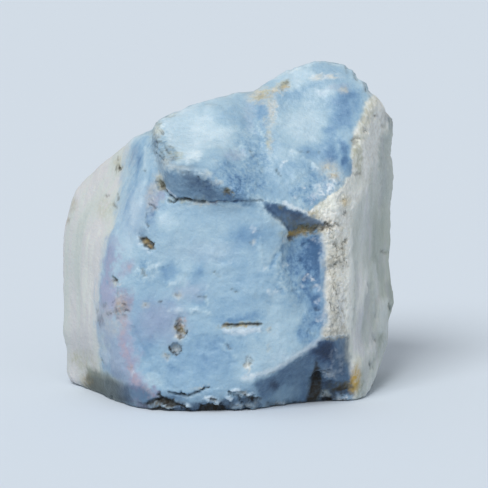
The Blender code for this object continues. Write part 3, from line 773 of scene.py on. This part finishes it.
OLIVE = [
    (156, 123, 12, 10, 0.5, -40), (156, 137, 14, 28, 0.3, -10), (164, 150, 16, 18, 0.2, -25),
    (176, 153, 14, 11, 0.5), (170, 117, 12, 4, 0.5, -10), (185, 199, 40, 4, 0.5), (240, 324, 40, 4, 0.5),
    (304, 230, 36, 9, 1, -12), (292, 235, 7, 9, 1, 15), (114, 281, 8, 9, 0.5), (118, 166, 10, 16, 0.4),
    (316, 385, 10, 30, 0.3), (300, 226, 44, 12, 0.5, 15), (281, 206.5, 8, 4, 0.7, 20), (266, 92, 11, 4, 0.7),
    (262, 98, 15, 6, 0.5, -10), (268, 120, 9, 7, 0.5), (268, 140, 5, 18, 0.6, -8), (360, 133, 8, 8, 0.6),
    (370, 104, 8, 6, 0.5), (368, 110, 8, 24, 0.45, 25), (362, 128, 9, 24, 0.4, 12), (356, 159, 8, 36, 0.7),
    (346, 202, 8, 14, 0.2, 20), (318, 215, 12, 6, 0.6, 15), (105, 208, 18, 24, 0.4), (75, 356, 10, 14, 0.6),
    (86, 362, 20, 22, 0.5), (160, 184, 8, 12, 0.7, -35), (228, 192, 11, 5, 0.9), (284, 84, 12, 7, 0.7, -30),
    (242, 325.5, 38, 3, 0.7), (338, 388, 24, 9, 0.9, -10), (359, 384, 6, 24, 0.7, 8),
    (316, 398, 12, 18, 0.6), (325, 204, 24, 8, 0.4, -30),
]
RUST = [
    (335, 177, 8, 6, 0.5), (327, 166, 8, 4, 0.45), (331, 338.5, 16, 2, 0.5), (343, 338, 8, 2, 0.4),
    (180, 330, 9, 13, 0.85), (176, 349, 5, 6, 0.3), (351.5, 384, 5, 16, 0.8, 8), (344, 386, 13, 5, 0.3, -20),
    (286, 86, 9, 4, 0.4, -30), (87, 381, 10, 14, 0.35, 10), (314, 213, 16, 5, 0.4, 20), (67, 220, 6, 9, 0.6),
    (73, 206, 8, 14, 0.35, 20), (367, 118, 7, 26, 0.15, 18), (161, 189, 4, 5, 0.8, -35),
    (229, 192, 9, 3, 0.15), (362, 130, 8, 5, 0.35), (130, 367, 5, 6, 0.3), (165, 402, 26, 6, 0.6),
    (240, 325, 38, 3, 0.4), (226, 324, 6, 4, 0.5), (117, 304, 5, 12, 0.3),
]
# Real dark specks and stains; the spots along the bottom edge, from (126, 401) to (300, 405), are painted
# shadow where the stone meets the floor.
DIRT_AND_SHADOW_SPOTS = [
    (262, 97, 15, 5, 0.25, -10), (273, 92, 8, 3, 0.2, -10), (160.5, 184, 4, 8, 0.8, -35),
    (115, 279.5, 6, 5, 0.95, 10), (104, 305, 4, 4, 0.4), (109, 313, 3, 4, 0.5), (98, 311, 3, 5, 0.4),
    (113, 302, 2.5, 3, 0.4), (118, 318, 4, 3, 0.45), (104, 324, 3, 5, 0.45), (124, 316, 3, 3, 0.5),
    (356, 174, 9, 1.8, 0.6, -3), (250.5, 244, 3, 6, 0.35, -20), (281, 206.5, 7, 3, 0.35, 20),
    (294, 237, 3.5, 3, 0.6), (299.5, 234, 3, 2.5, 0.6), (307, 229, 4, 3.5, 0.6), (219, 401, 7, 4, 0.35),
    (251, 400, 13, 4, 0.95), (126, 401, 18, 7, 0.4, 20), (152, 408, 28, 8, 0.7, 6), (118, 168.5, 4.5, 6, 1),
    (176, 353.5, 9, 3.5, 0.95, 5), (171, 349.5, 3, 9, 0.95, -30), (180, 348, 3, 9, 0.9, 10),
    (175, 343.5, 7, 2, 0.6), (101, 320, 5, 11, 0.45), (116, 311, 8, 7, 0.4), (123, 309, 8, 12, 0.35),
    (154, 144, 4, 3, 0.55), (160, 142, 5, 3, 0.4, 20), (169, 151, 4, 7, 0.5, -35),
    (164, 157, 3, 7, 0.55, -20), (172, 159, 3.5, 4, 0.75), (171, 147, 4, 3, 0.45), (152, 131, 4, 6, 0.35),
    (158, 138, 5, 4, 0.3), (355, 141, 6, 7, 0.4), (344, 244, 3, 9, 0.5), (336, 246, 7, 3, 0.45, 20),
    (385, 251, 4, 4, 0.3), (285, 83, 10, 3, 0.5, -35), (281, 88, 4, 3, 0.35), (260, 94, 5, 3, 0.35),
    (309.5, 331, 3, 3, 0.35), (326, 384, 10, 12, 0.35), (259, 400, 5, 3, 0.6), (118, 160, 2.5, 3, 0.6),
    (118, 165, 3, 3, 0.5), (92, 385, 14, 10, 0.35, 24), (168, 358, 4, 2, 0.4), (186, 333, 3, 4, 1),
    (181, 337, 5, 2, 0.6), (179, 327, 6, 13, 0.65), (179, 296, 6, 1.5, 0.35), (146, 305, 5, 2, 0.35),
    (161, 301, 2.5, 3, 0.8), (122, 304, 3, 2, 0.5, 20), (126, 312, 3, 2, 0.5), (229, 192, 9, 4, 0.8),
    (318, 309, 3, 4, 0.7), (327, 398, 18, 12, 0.8), (341, 389, 17, 6, 0.9, -14), (250, 362, 2, 8, 0.5, 10),
    (245, 366, 3, 5, 0.4), (364, 130, 3, 3, 0.4), (272, 329, 3, 3, 0.3), (300, 405, 50, 6, 0.5),
    (90, 379, 7, 7, 0.35), (168, 409, 20, 4, 0.6), (145, 407, 12, 6, 0.6, 20), (224, 406, 52, 6, 0.6),
    (175, 410.5, 40, 3, 0.5), (250, 406, 20, 8, 0.6), (165, 402, 26, 7, 0.75), (211, 407, 28, 8, 0.8),
]
# Bruised edges, fresh grains and nodules are really white; the spots at the wedge's right end, the glints in
# the hollow and by the cleft, and the chamfer rim's left end are painted highlight.
WHITE_AND_HIGHLIGHT_SPOTS = [
    (283, 164, 3, 8, 0.6, 30), (304, 188, 3, 4, 0.6), (295, 197, 3, 3, 0.6), (312, 203, 4, 4, 0.6),
    (306, 277, 4, 5, 0.8), (312, 278, 6, 3, 0.8, 30), (317, 287, 7, 4, 0.6), (254, 229, 5, 5, 0.6),
    (253, 243, 5, 4, 0.5, 40), (264, 267, 8, 3, 0.4), (342, 400, 18, 9, 1), (321.5, 240, 5, 9, 0.5),
    (330, 374, 12, 5, 0.8, 30), (327, 371, 11, 8, 0.9, 20), (138.5, 243, 4, 8, 0.4, -25),
    (146, 249.5, 9, 2, 0.3, 25), (273, 112, 7, 24, 0.5, 5), (325, 77, 28, 5, 0.5), (302, 285, 4, 3, 0.4),
    (315, 240, 6, 4, 0.35), (286, 265, 5, 3, 0.35), (268, 292, 3, 3, 0.4), (276, 292, 4, 2, 0.4),
    (317, 319, 4, 2, 0.5), (325, 196, 8, 4, 0.5, -30), (352, 186, 18, 13, 0.5, -25),
    (347, 193, 12, 8, 0.6, -30), (342, 300, 9, 70, 0.7), (383, 320, 9, 22, 0.4), (260, 97, 6, 3, 0.6, -20),
    (248, 376, 16, 4, 0.8, -5), (326, 189, 22, 13, 0.65, -30), (356, 146, 5, 4, 0.8), (333, 181, 7, 6, 0.7),
    (336, 177, 9, 8, 0.6), (327, 166, 8, 4, 0.4), (316, 169, 4, 3, 0.5), (275, 292, 8, 4, 0.3),
    (116, 284, 5, 4, 0.5), (315, 196, 12, 6, 0.4), (212, 398, 8, 4, 0.6), (159, 189, 5, 4, 0.5),
    (133, 372, 6, 5, 0.5), (182, 322, 4, 5, 0.5), (177, 335, 4, 4, 0.5), (176, 350, 5, 5, 0.1),
    (163, 405, 10, 3, 0.2), (317, 302, 5, 5, 0.5), (322, 318, 5, 8, 0.4), (247, 368, 7, 5, 0.6),
    (322, 250, 4, 34, 0.3), (349, 275, 5, 110, 0.45), (139, 246, 9, 3, 0.3, 45),
]
GOLD = [
    (355.5, 379, 8, 25, 0.95, 6), (356, 370, 6, 9, 0.6), (145.5, 242, 5, 5, 0.6, -20),
    (149, 246, 6, 2.5, 0.5, 35), (247, 326, 18, 1.5, 0.35), (224.5, 325, 4, 4, 0.4),
    (290, 234, 4, 6, 0.6, 15), (298, 233.5, 22, 5, 0.5, -12), (351, 390, 6, 8, 0.6),
    (304, 233.5, 11, 4, 0.35, -15), (286, 87, 5, 3, 0.45, -20), (345, 202, 7, 11, 0.4, 10),
]
PINK = [
    (121, 306, 14, 20, 0.7), (182, 322, 7, 8, 1), (127, 267, 8, 6, 0.5), (134, 379, 8, 9, 0.6),
    (152, 395, 9, 9, 0.6),
]
# The cream at the wedge's right end, at (353, 185), is partly the crust's colour and partly painted highlight
# on a face that turns from the light.
CREAM = [
    (357, 361, 7, 12, 0.7), (345, 203, 10, 15, 0.6, 10), (353, 185, 16, 14, 0.9, -20),
    (370, 112, 10, 32, 0.6, 25), (360, 136, 11, 26, 0.85, 10), (157, 131, 11, 14, 0.45, -10),
    (356, 160, 9, 30, 0.5),
]
PINK_LINE = [(118, 290), (125, 350), (133, 378), (152, 393)]
PIT_LEAF = [(138, 236.5), (142, 237), (147, 237), (151, 241), (155, 249), (150, 249), (145, 247), (141, 242)]
PIT_FLOOR = (146, 243, 9, 8, 30)
CREAM_WEDGE = [
    (312, 213), (322, 203), (336, 193), (348, 181), (357, 178), (359, 190), (349, 197), (341, 208),
    (326, 212),
]
LIP_HIGHLIGHT = [(223, 328), (240, 327), (261, 328), (261, 332), (240, 334.5), (224, 333)]
# Painted highlight on the crack's lower lip, the gap's upper rim and the chamfer's rim.
HIGHLIGHT_LINES = [
    ([(166, 187.5), (171, 192.5), (177, 197.5)], 1.6, 0.6, 0.3, 0.5),
    ([(284, 203), (292, 207.5), (300, 209.5), (308, 213.5)], 4, 0.8, 0.3, 0.5),
    ([(242, 378), (262, 375), (280, 367), (300, 353), (320, 340)], 4.5, 0.9, 0.6, 0.45),
]
GAP_SOIL = [(294, 225), (322, 221), (324, 229), (292, 233)]
UPPER_CRUST = (200, 245)
UPPER_FACE = (170, 240)
UPPER_GRIT = (185, 215)
LOWER_GRIT = (250, 310)
SOLE_HEIGHT = (404, 408)
HEEL_OLIVE = (112, 132)

grainy = ease(ripple(0.45, 2, 38.0), -0.35, 0.25)
behind = 1 - front
earthy = ripple(3.0, 4, 97.0, roughness=0.7)
rusting = ripple(4.0, 4, 98.0, roughness=0.7) - place[:, 2] * 0.02
lilac = marks(LILAC, 1.6, 3.0)
pink = strongest(marks(PINK) * patchy, line(PINK_LINE, 5, 0.9, 1.0, 2.5) * (0.1 + 0.4 * broken))
tan = strongest(
    marks(TAN) * (0.5 + 0.5 * patchy),
    seams(11.0, 0.04, 99.0, 0.5) * broken * behind * 0.6,
    ease(earthy, 0.4, 0.9) * behind * (1 - wall) * 0.4,
)
olive = strongest(
    marks(OLIVE, 0.8, 2.0) * (0.25 + 0.75 * patchy),
    field(HEEL, 4.0, 0.6, 0.4) * 0.75 * (1 - ease(across, *HEEL_OLIVE)),
)
rust = strongest(
    strongest(marks(RUST, 0.4), field(PIT_LEAF, 1.5, 0.2, 0.5) * 0.8, line(GAP_DIRT, 7, 0.8, 0.8, 2.5) * 0.55)
    * (0.3 + 0.7 * grainy),
    ease(rusting, 0.35, 0.8) * behind * 0.5,
)
# Besides real white, this paints highlight on the slit's lower lip, the rims, the cleft's ridges and the
# raised ribs, and lightens the upper crust and upper right face that turn from the light; the nodules fade
# towards the sole as painted shade.
white_and_highlight = strongest(
    marks(WHITE_AND_HIGHLIGHT_SPOTS, 0.4) * (0.2 + 0.8 * grainy),
    field(LIP_HIGHLIGHT, 2.2, 0.3, 0.6) * (0.35 + 0.2 * broken),
    nodules * (0.25 + 0.25 * grainy) * (1 - 0.7 * ease(down, *SOLE_HEIGHT)),
    crust * upper(*UPPER_CRUST) * 0.48,
    right_face * upper(*UPPER_FACE) * 0.25,
    np.clip(ribs, 0, 1) * 0.5 * right_wall,
    *(line(path, width, edge, ragged) * strength for path, width, edge, ragged, strength in HIGHLIGHT_LINES),
    along(CLEFT_RIDGES, 2.6, ragged=0.6, jitter=1.5) * 0.6,
)
gold = marks(GOLD, 0.2, 0.7) * (0.6 + 0.4 * patchy)
cream = strongest(field(CREAM_WEDGE, 4.0, 0.5, 1.5) * 0.75, marks(CREAM))
# Painted shadow inside the cracks, the slit and the foot's crack.
crack_shadows = strongest(*(line(path, width, 0.9, 0.2, 0.4) * strength for path, width, strength in [
    (CRACK, 1.7, 0.85), (CRACK_DEEP, 2.9, 0.95), (CRACK_FORK, 1.6, 0.75), (CRACK_END, 2.2, 0.42),
    (SLIT, 3.2, 0.85), (FOOT_CRACK, 2.2, 0.8),
]))
# Real dirt and earth, with painted shadow in the crevices, the hollows under the foot and the cleft, which is
# also brown-stained.
dirt_and_shadow = strongest(
    marks(DIRT_AND_SHADOW_SPOTS, 0.3) * (0.55 + 0.45 * grainy),
    crack_shadows * (0.6 + 0.4 * broken),
    line(GAP_DIRT, 4.5, 0.9, 0.6, 1.8) * (0.32 + 0.4 * patchy),
    strongest(crevices, hollows) * (0.85 + 0.15 * patchy),
    cleft * (0.86 + 0.12 * patchy),
    field(PIT_LEAF, 1.2, 0.2, 0.5) * (0.85 - 0.35 * oval(*PIT_FLOOR, 0.6, 0.2, 0.6)),
    facet * (1 - grainy) * 0.2,
) * (1 - gold * 0.8)
upper_grit = (crust * upper(*UPPER_GRIT) + lumpy_rock) * (1 - grainy) * (0.3 + 0.7 * patchy)
dirt_and_shadow = strongest(
    dirt_and_shadow, ticks * 0.5, rock_cracks * 0.5, heel_cracks * 0.8, crust_cracks * 0.25, hairlines * 0.35,
    crust * ease(down, *LOWER_GRIT) * (1 - grainy) * patchy * 0.22,
    upper_grit * 0.11,
    field(GAP_SOIL, 3.0, 0.4, 2.0) * 0.3,
)
rough *= 1 - 0.3 * hollow

relief += ripple(0.5, 3, 68.0, roughness=0.7) * 0.12 * strongest(tan, rust) * (1 - wall)
settled = place + outward * relief[:, None]
settled[:, 2] = np.where(resting, np.maximum(place[:, 2], 0), np.maximum(settled[:, 2], 0.02))
for vertex, spot in zip(skin.verts, settled * MM):
    vertex.co = spot
skin.normal_update()

layers = {
    "milk_and_painted_light": milk_and_painted_light, "shade": shade, "shade_deep": shade_deep, "lilac": lilac, "pink": pink, "white_and_highlight": white_and_highlight,
    "rust": rust, "tan": tan, "olive": olive, "dirt_and_shadow": dirt_and_shadow, "left_wall": left_wall, "right_wall": right_wall,
    "crust": crust, "rough": rough, "far_right_tone_and_shade": far_right_tone_and_shade, "gold": gold, "cream": cream,
}
for name, values in layers.items():
    layer = skin.verts.layers.float.new(name)
    for vertex, value in zip(skin.verts, np.clip(values, 0, 1)):
        vertex[layer] = value

skin.to_mesh(stone_mesh)
skin.free()
stone_mesh.shade_smooth()


# Raw common opal, as broken.
# It isn't polished, so it gleams like wax and not like glass; the rock walls and crust are as dull as chalk.
def linear(code):
    """A colour given as #RRGGBB in sRGB, as the linear values that a shader takes."""
    parts = [int(code[i : i + 2], 16) / 255 for i in (1, 3, 5)]
    return [p / 12.92 if p <= 0.04045 else ((p + 0.055) / 1.055) ** 2.4 for p in parts] + [1.0]


opal = bpy.data.materials.new("raw_blue_opal")
opal.use_nodes = True
graph = opal.node_tree
graph.nodes.clear()


def add_node(kind, inputs=None, stops=None, output=0, **settings):
    """Adds one node and gives its output; inputs that are outputs are linked; stops are a ramp's colours."""
    made = graph.nodes.new("ShaderNode" + kind)
    for name, value in settings.items():
        setattr(made, name, value)
    for name, value in (inputs or {}).items():
        if isinstance(value, bpy.types.NodeSocket):
            graph.links.new(value, made.inputs[name])
        else:
            made.inputs[name].default_value = value
    if stops:
        ramp = made.color_ramp.elements
        for _ in range(len(stops) - 2):
            ramp.new(0.5)
        for element, (position, code) in zip(ramp, stops):
            element.position = position
            element.color = linear(code)
    return made.outputs[output] if made.outputs else None


where = add_node("TexCoord", output="Object")
masks = {name: add_node("Attribute", output="Fac", attribute_name=name) for name in layers}
noises = {}
for name, size, detail, stretch in [
    ("mottle", 1.2, 5, (1, 1, 1)), ("speckle", 0.22, 3, (1, 1, 1)), ("streak", 2.4, 4, (1, 1, 0.12)),
    ("streak_fine", 1.6, 4, (1, 1, 0.3)), ("grit", 0.5, 4, (1, 1, 1)),
]:
    stretched = add_node("Mapping", {"Vector": where, "Scale": stretch})
    noises[name] = add_node(
        "TexNoise", {"Vector": stretched, "Scale": 1 / (size * MM * 2), "Detail": detail, "Roughness": 0.62}
    )

mottled = add_node("Math", {0: noises["mottle"], 1: -0.5}, operation="ADD")
uneven = add_node("MapRange", {"Value": masks["rough"], "To Min": 0.34, "To Max": 0.8})
mottled = add_node("Math", {0: mottled, 1: uneven}, operation="MULTIPLY")
flecks = add_node("Math", {0: noises["speckle"], 1: 0.7, 2: -0.35}, operation="MULTIPLY_ADD")
flecks = add_node("Math", {0: flecks, 1: masks["rough"]}, operation="MULTIPLY")
mottled = add_node("Math", {0: mottled, 1: flecks}, operation="ADD")
mottled = add_node("Math", {0: mottled, 1: masks["milk_and_painted_light"]}, operation="ADD")
paint = add_node("ValToRGB", {"Fac": mottled}, stops=[
    (0.0, "#41658B"), (0.12, "#577BA0"), (0.26, "#7396B5"), (0.42, "#88A8C0"), (0.62, "#9EB9CA"),
    (0.82, "#B6CBD8"), (1.0, "#CEDDE5"),
])
left_rock = add_node("ValToRGB", {"Fac": noises["streak"]}, stops=[
    (0.3, "#B0B9B7"), (0.45, "#BDC4C2"), (0.58, "#C0C1C4"), (0.7, "#C8CDCA"),
])
right_rock = add_node("ValToRGB", {"Fac": noises["streak_fine"]}, stops=[
    (0.3, "#C5CBC6"), (0.5, "#D9DED9"), (0.62, "#DFE0E1"), (0.75, "#EAECE8"),
])
crust_rock = add_node("ValToRGB", {"Fac": noises["grit"]}, stops=[
    (0.3, "#BFBBAD"), (0.42, "#D8D6CA"), (0.55, "#E7E6DE"), (0.7, "#F2F3EF"),
])
rusty = add_node("ValToRGB", {"Fac": noises["grit"]}, stops=[
    (0.38, "#5E4836"), (0.48, "#83703F"), (0.56, "#9E8850"), (0.66, "#B9A476"),
])

# The shade tints multiply in painted shade; the far right tint multiplies in the face's own darker tone and
# painted shade.
DARKENING = ("far_right_tone_and_shade", "shade", "shade_deep")
for name, tint in {
    "lilac": "#989DB6", "pink": "#B5A0A8", "left_wall": left_rock, "right_wall": right_rock,
    "far_right_tone_and_shade": "#DEE2DE", "crust": crust_rock, "cream": "#E6E5D4", "white_and_highlight": "#E4EAEE", "tan": "#C3C0B3",
    "olive": "#A9AB92", "shade": "#A3AEBC", "shade_deep": "#7F8BA0", "rust": rusty, "dirt_and_shadow": "#29251E",
    "gold": "#BB9A48",
}.items():
    tint = linear(tint) if isinstance(tint, str) else tint
    way = "MULTIPLY" if name in DARKENING else "MIX"
    paint = add_node("Mix", {0: masks[name], 6: paint, 7: tint}, output=2, data_type="RGBA", blend_type=way)

dull = add_node("Math", {0: masks["left_wall"], 1: masks["right_wall"]}, operation="ADD")
dull = add_node("Math", {0: dull, 1: masks["dirt_and_shadow"]}, operation="ADD", use_clamp=True)
gloss = add_node("MapRange", {"Value": dull, "To Min": 0.42, "To Max": 0.85})
fine = add_node("Math", {0: noises["speckle"], 1: 0.6, 2: noises["grit"]}, operation="MULTIPLY_ADD")
bump = add_node("Bump", {"Height": fine, "Strength": 0.7, "Distance": 0.22 * MM})
shader = add_node("BsdfPrincipled", {
    "Base Color": paint, "Roughness": gloss, "Normal": bump, "IOR": 1.45,
    "Subsurface Weight": 0.12, "Subsurface Radius": (0.6, 0.8, 1.0), "Subsurface Scale": 0.5 * MM,
})
add_node("OutputMaterial", {"Surface": shader})
stone_mesh.materials.clear()
stone_mesh.materials.append(opal)

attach(stone, "root")
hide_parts("blue_opal")


# The table it stands on, and the light.
# A matt pale blue-grey sheet far larger than the picture; one soft light from the upper left front.
FLOOR_SIDE = 8.0
FLOOR_DROP = 0.01
KEY_DIRECTION = Vector((0.4, 0.8, -1.0))

table = bmesh.new()
bmesh.ops.create_grid(table, x_segments=1, y_segments=1, size=FLOOR_SIDE / 2)
bmesh.ops.translate(table, verts=table.verts, vec=(0, 0, -FLOOR_DROP * MM))
table_mesh = bpy.data.meshes.new("pale_floor")
table.to_mesh(table_mesh)
table.free()
floor = put("pale_floor", table_mesh)
card = bpy.data.materials.new("matt_pale_card")
card.use_nodes = True
card_shader = card.node_tree.nodes["Principled BSDF"]
card_shader.inputs["Base Color"].default_value = linear("#CED8E3")
card_shader.inputs["Roughness"].default_value = 0.9
table_mesh.materials.append(card)

key_data = bpy.data.lights.new("soft_key", "SUN")
key_data.energy = 2.4
key_data.angle = math.radians(30)
key_data.color = (1.0, 0.99, 0.97)
key = put("soft_key", key_data)
key.rotation_euler = KEY_DIRECTION.to_track_quat("-Z", "Y").to_euler()

world = bpy.data.worlds.new("pale_studio")
world.use_nodes = True
sky = world.node_tree.nodes["Background"]
sky.inputs["Color"].default_value = linear("#E6E8EA")
sky.inputs["Strength"].default_value = 0.6
bpy.context.scene.world = world
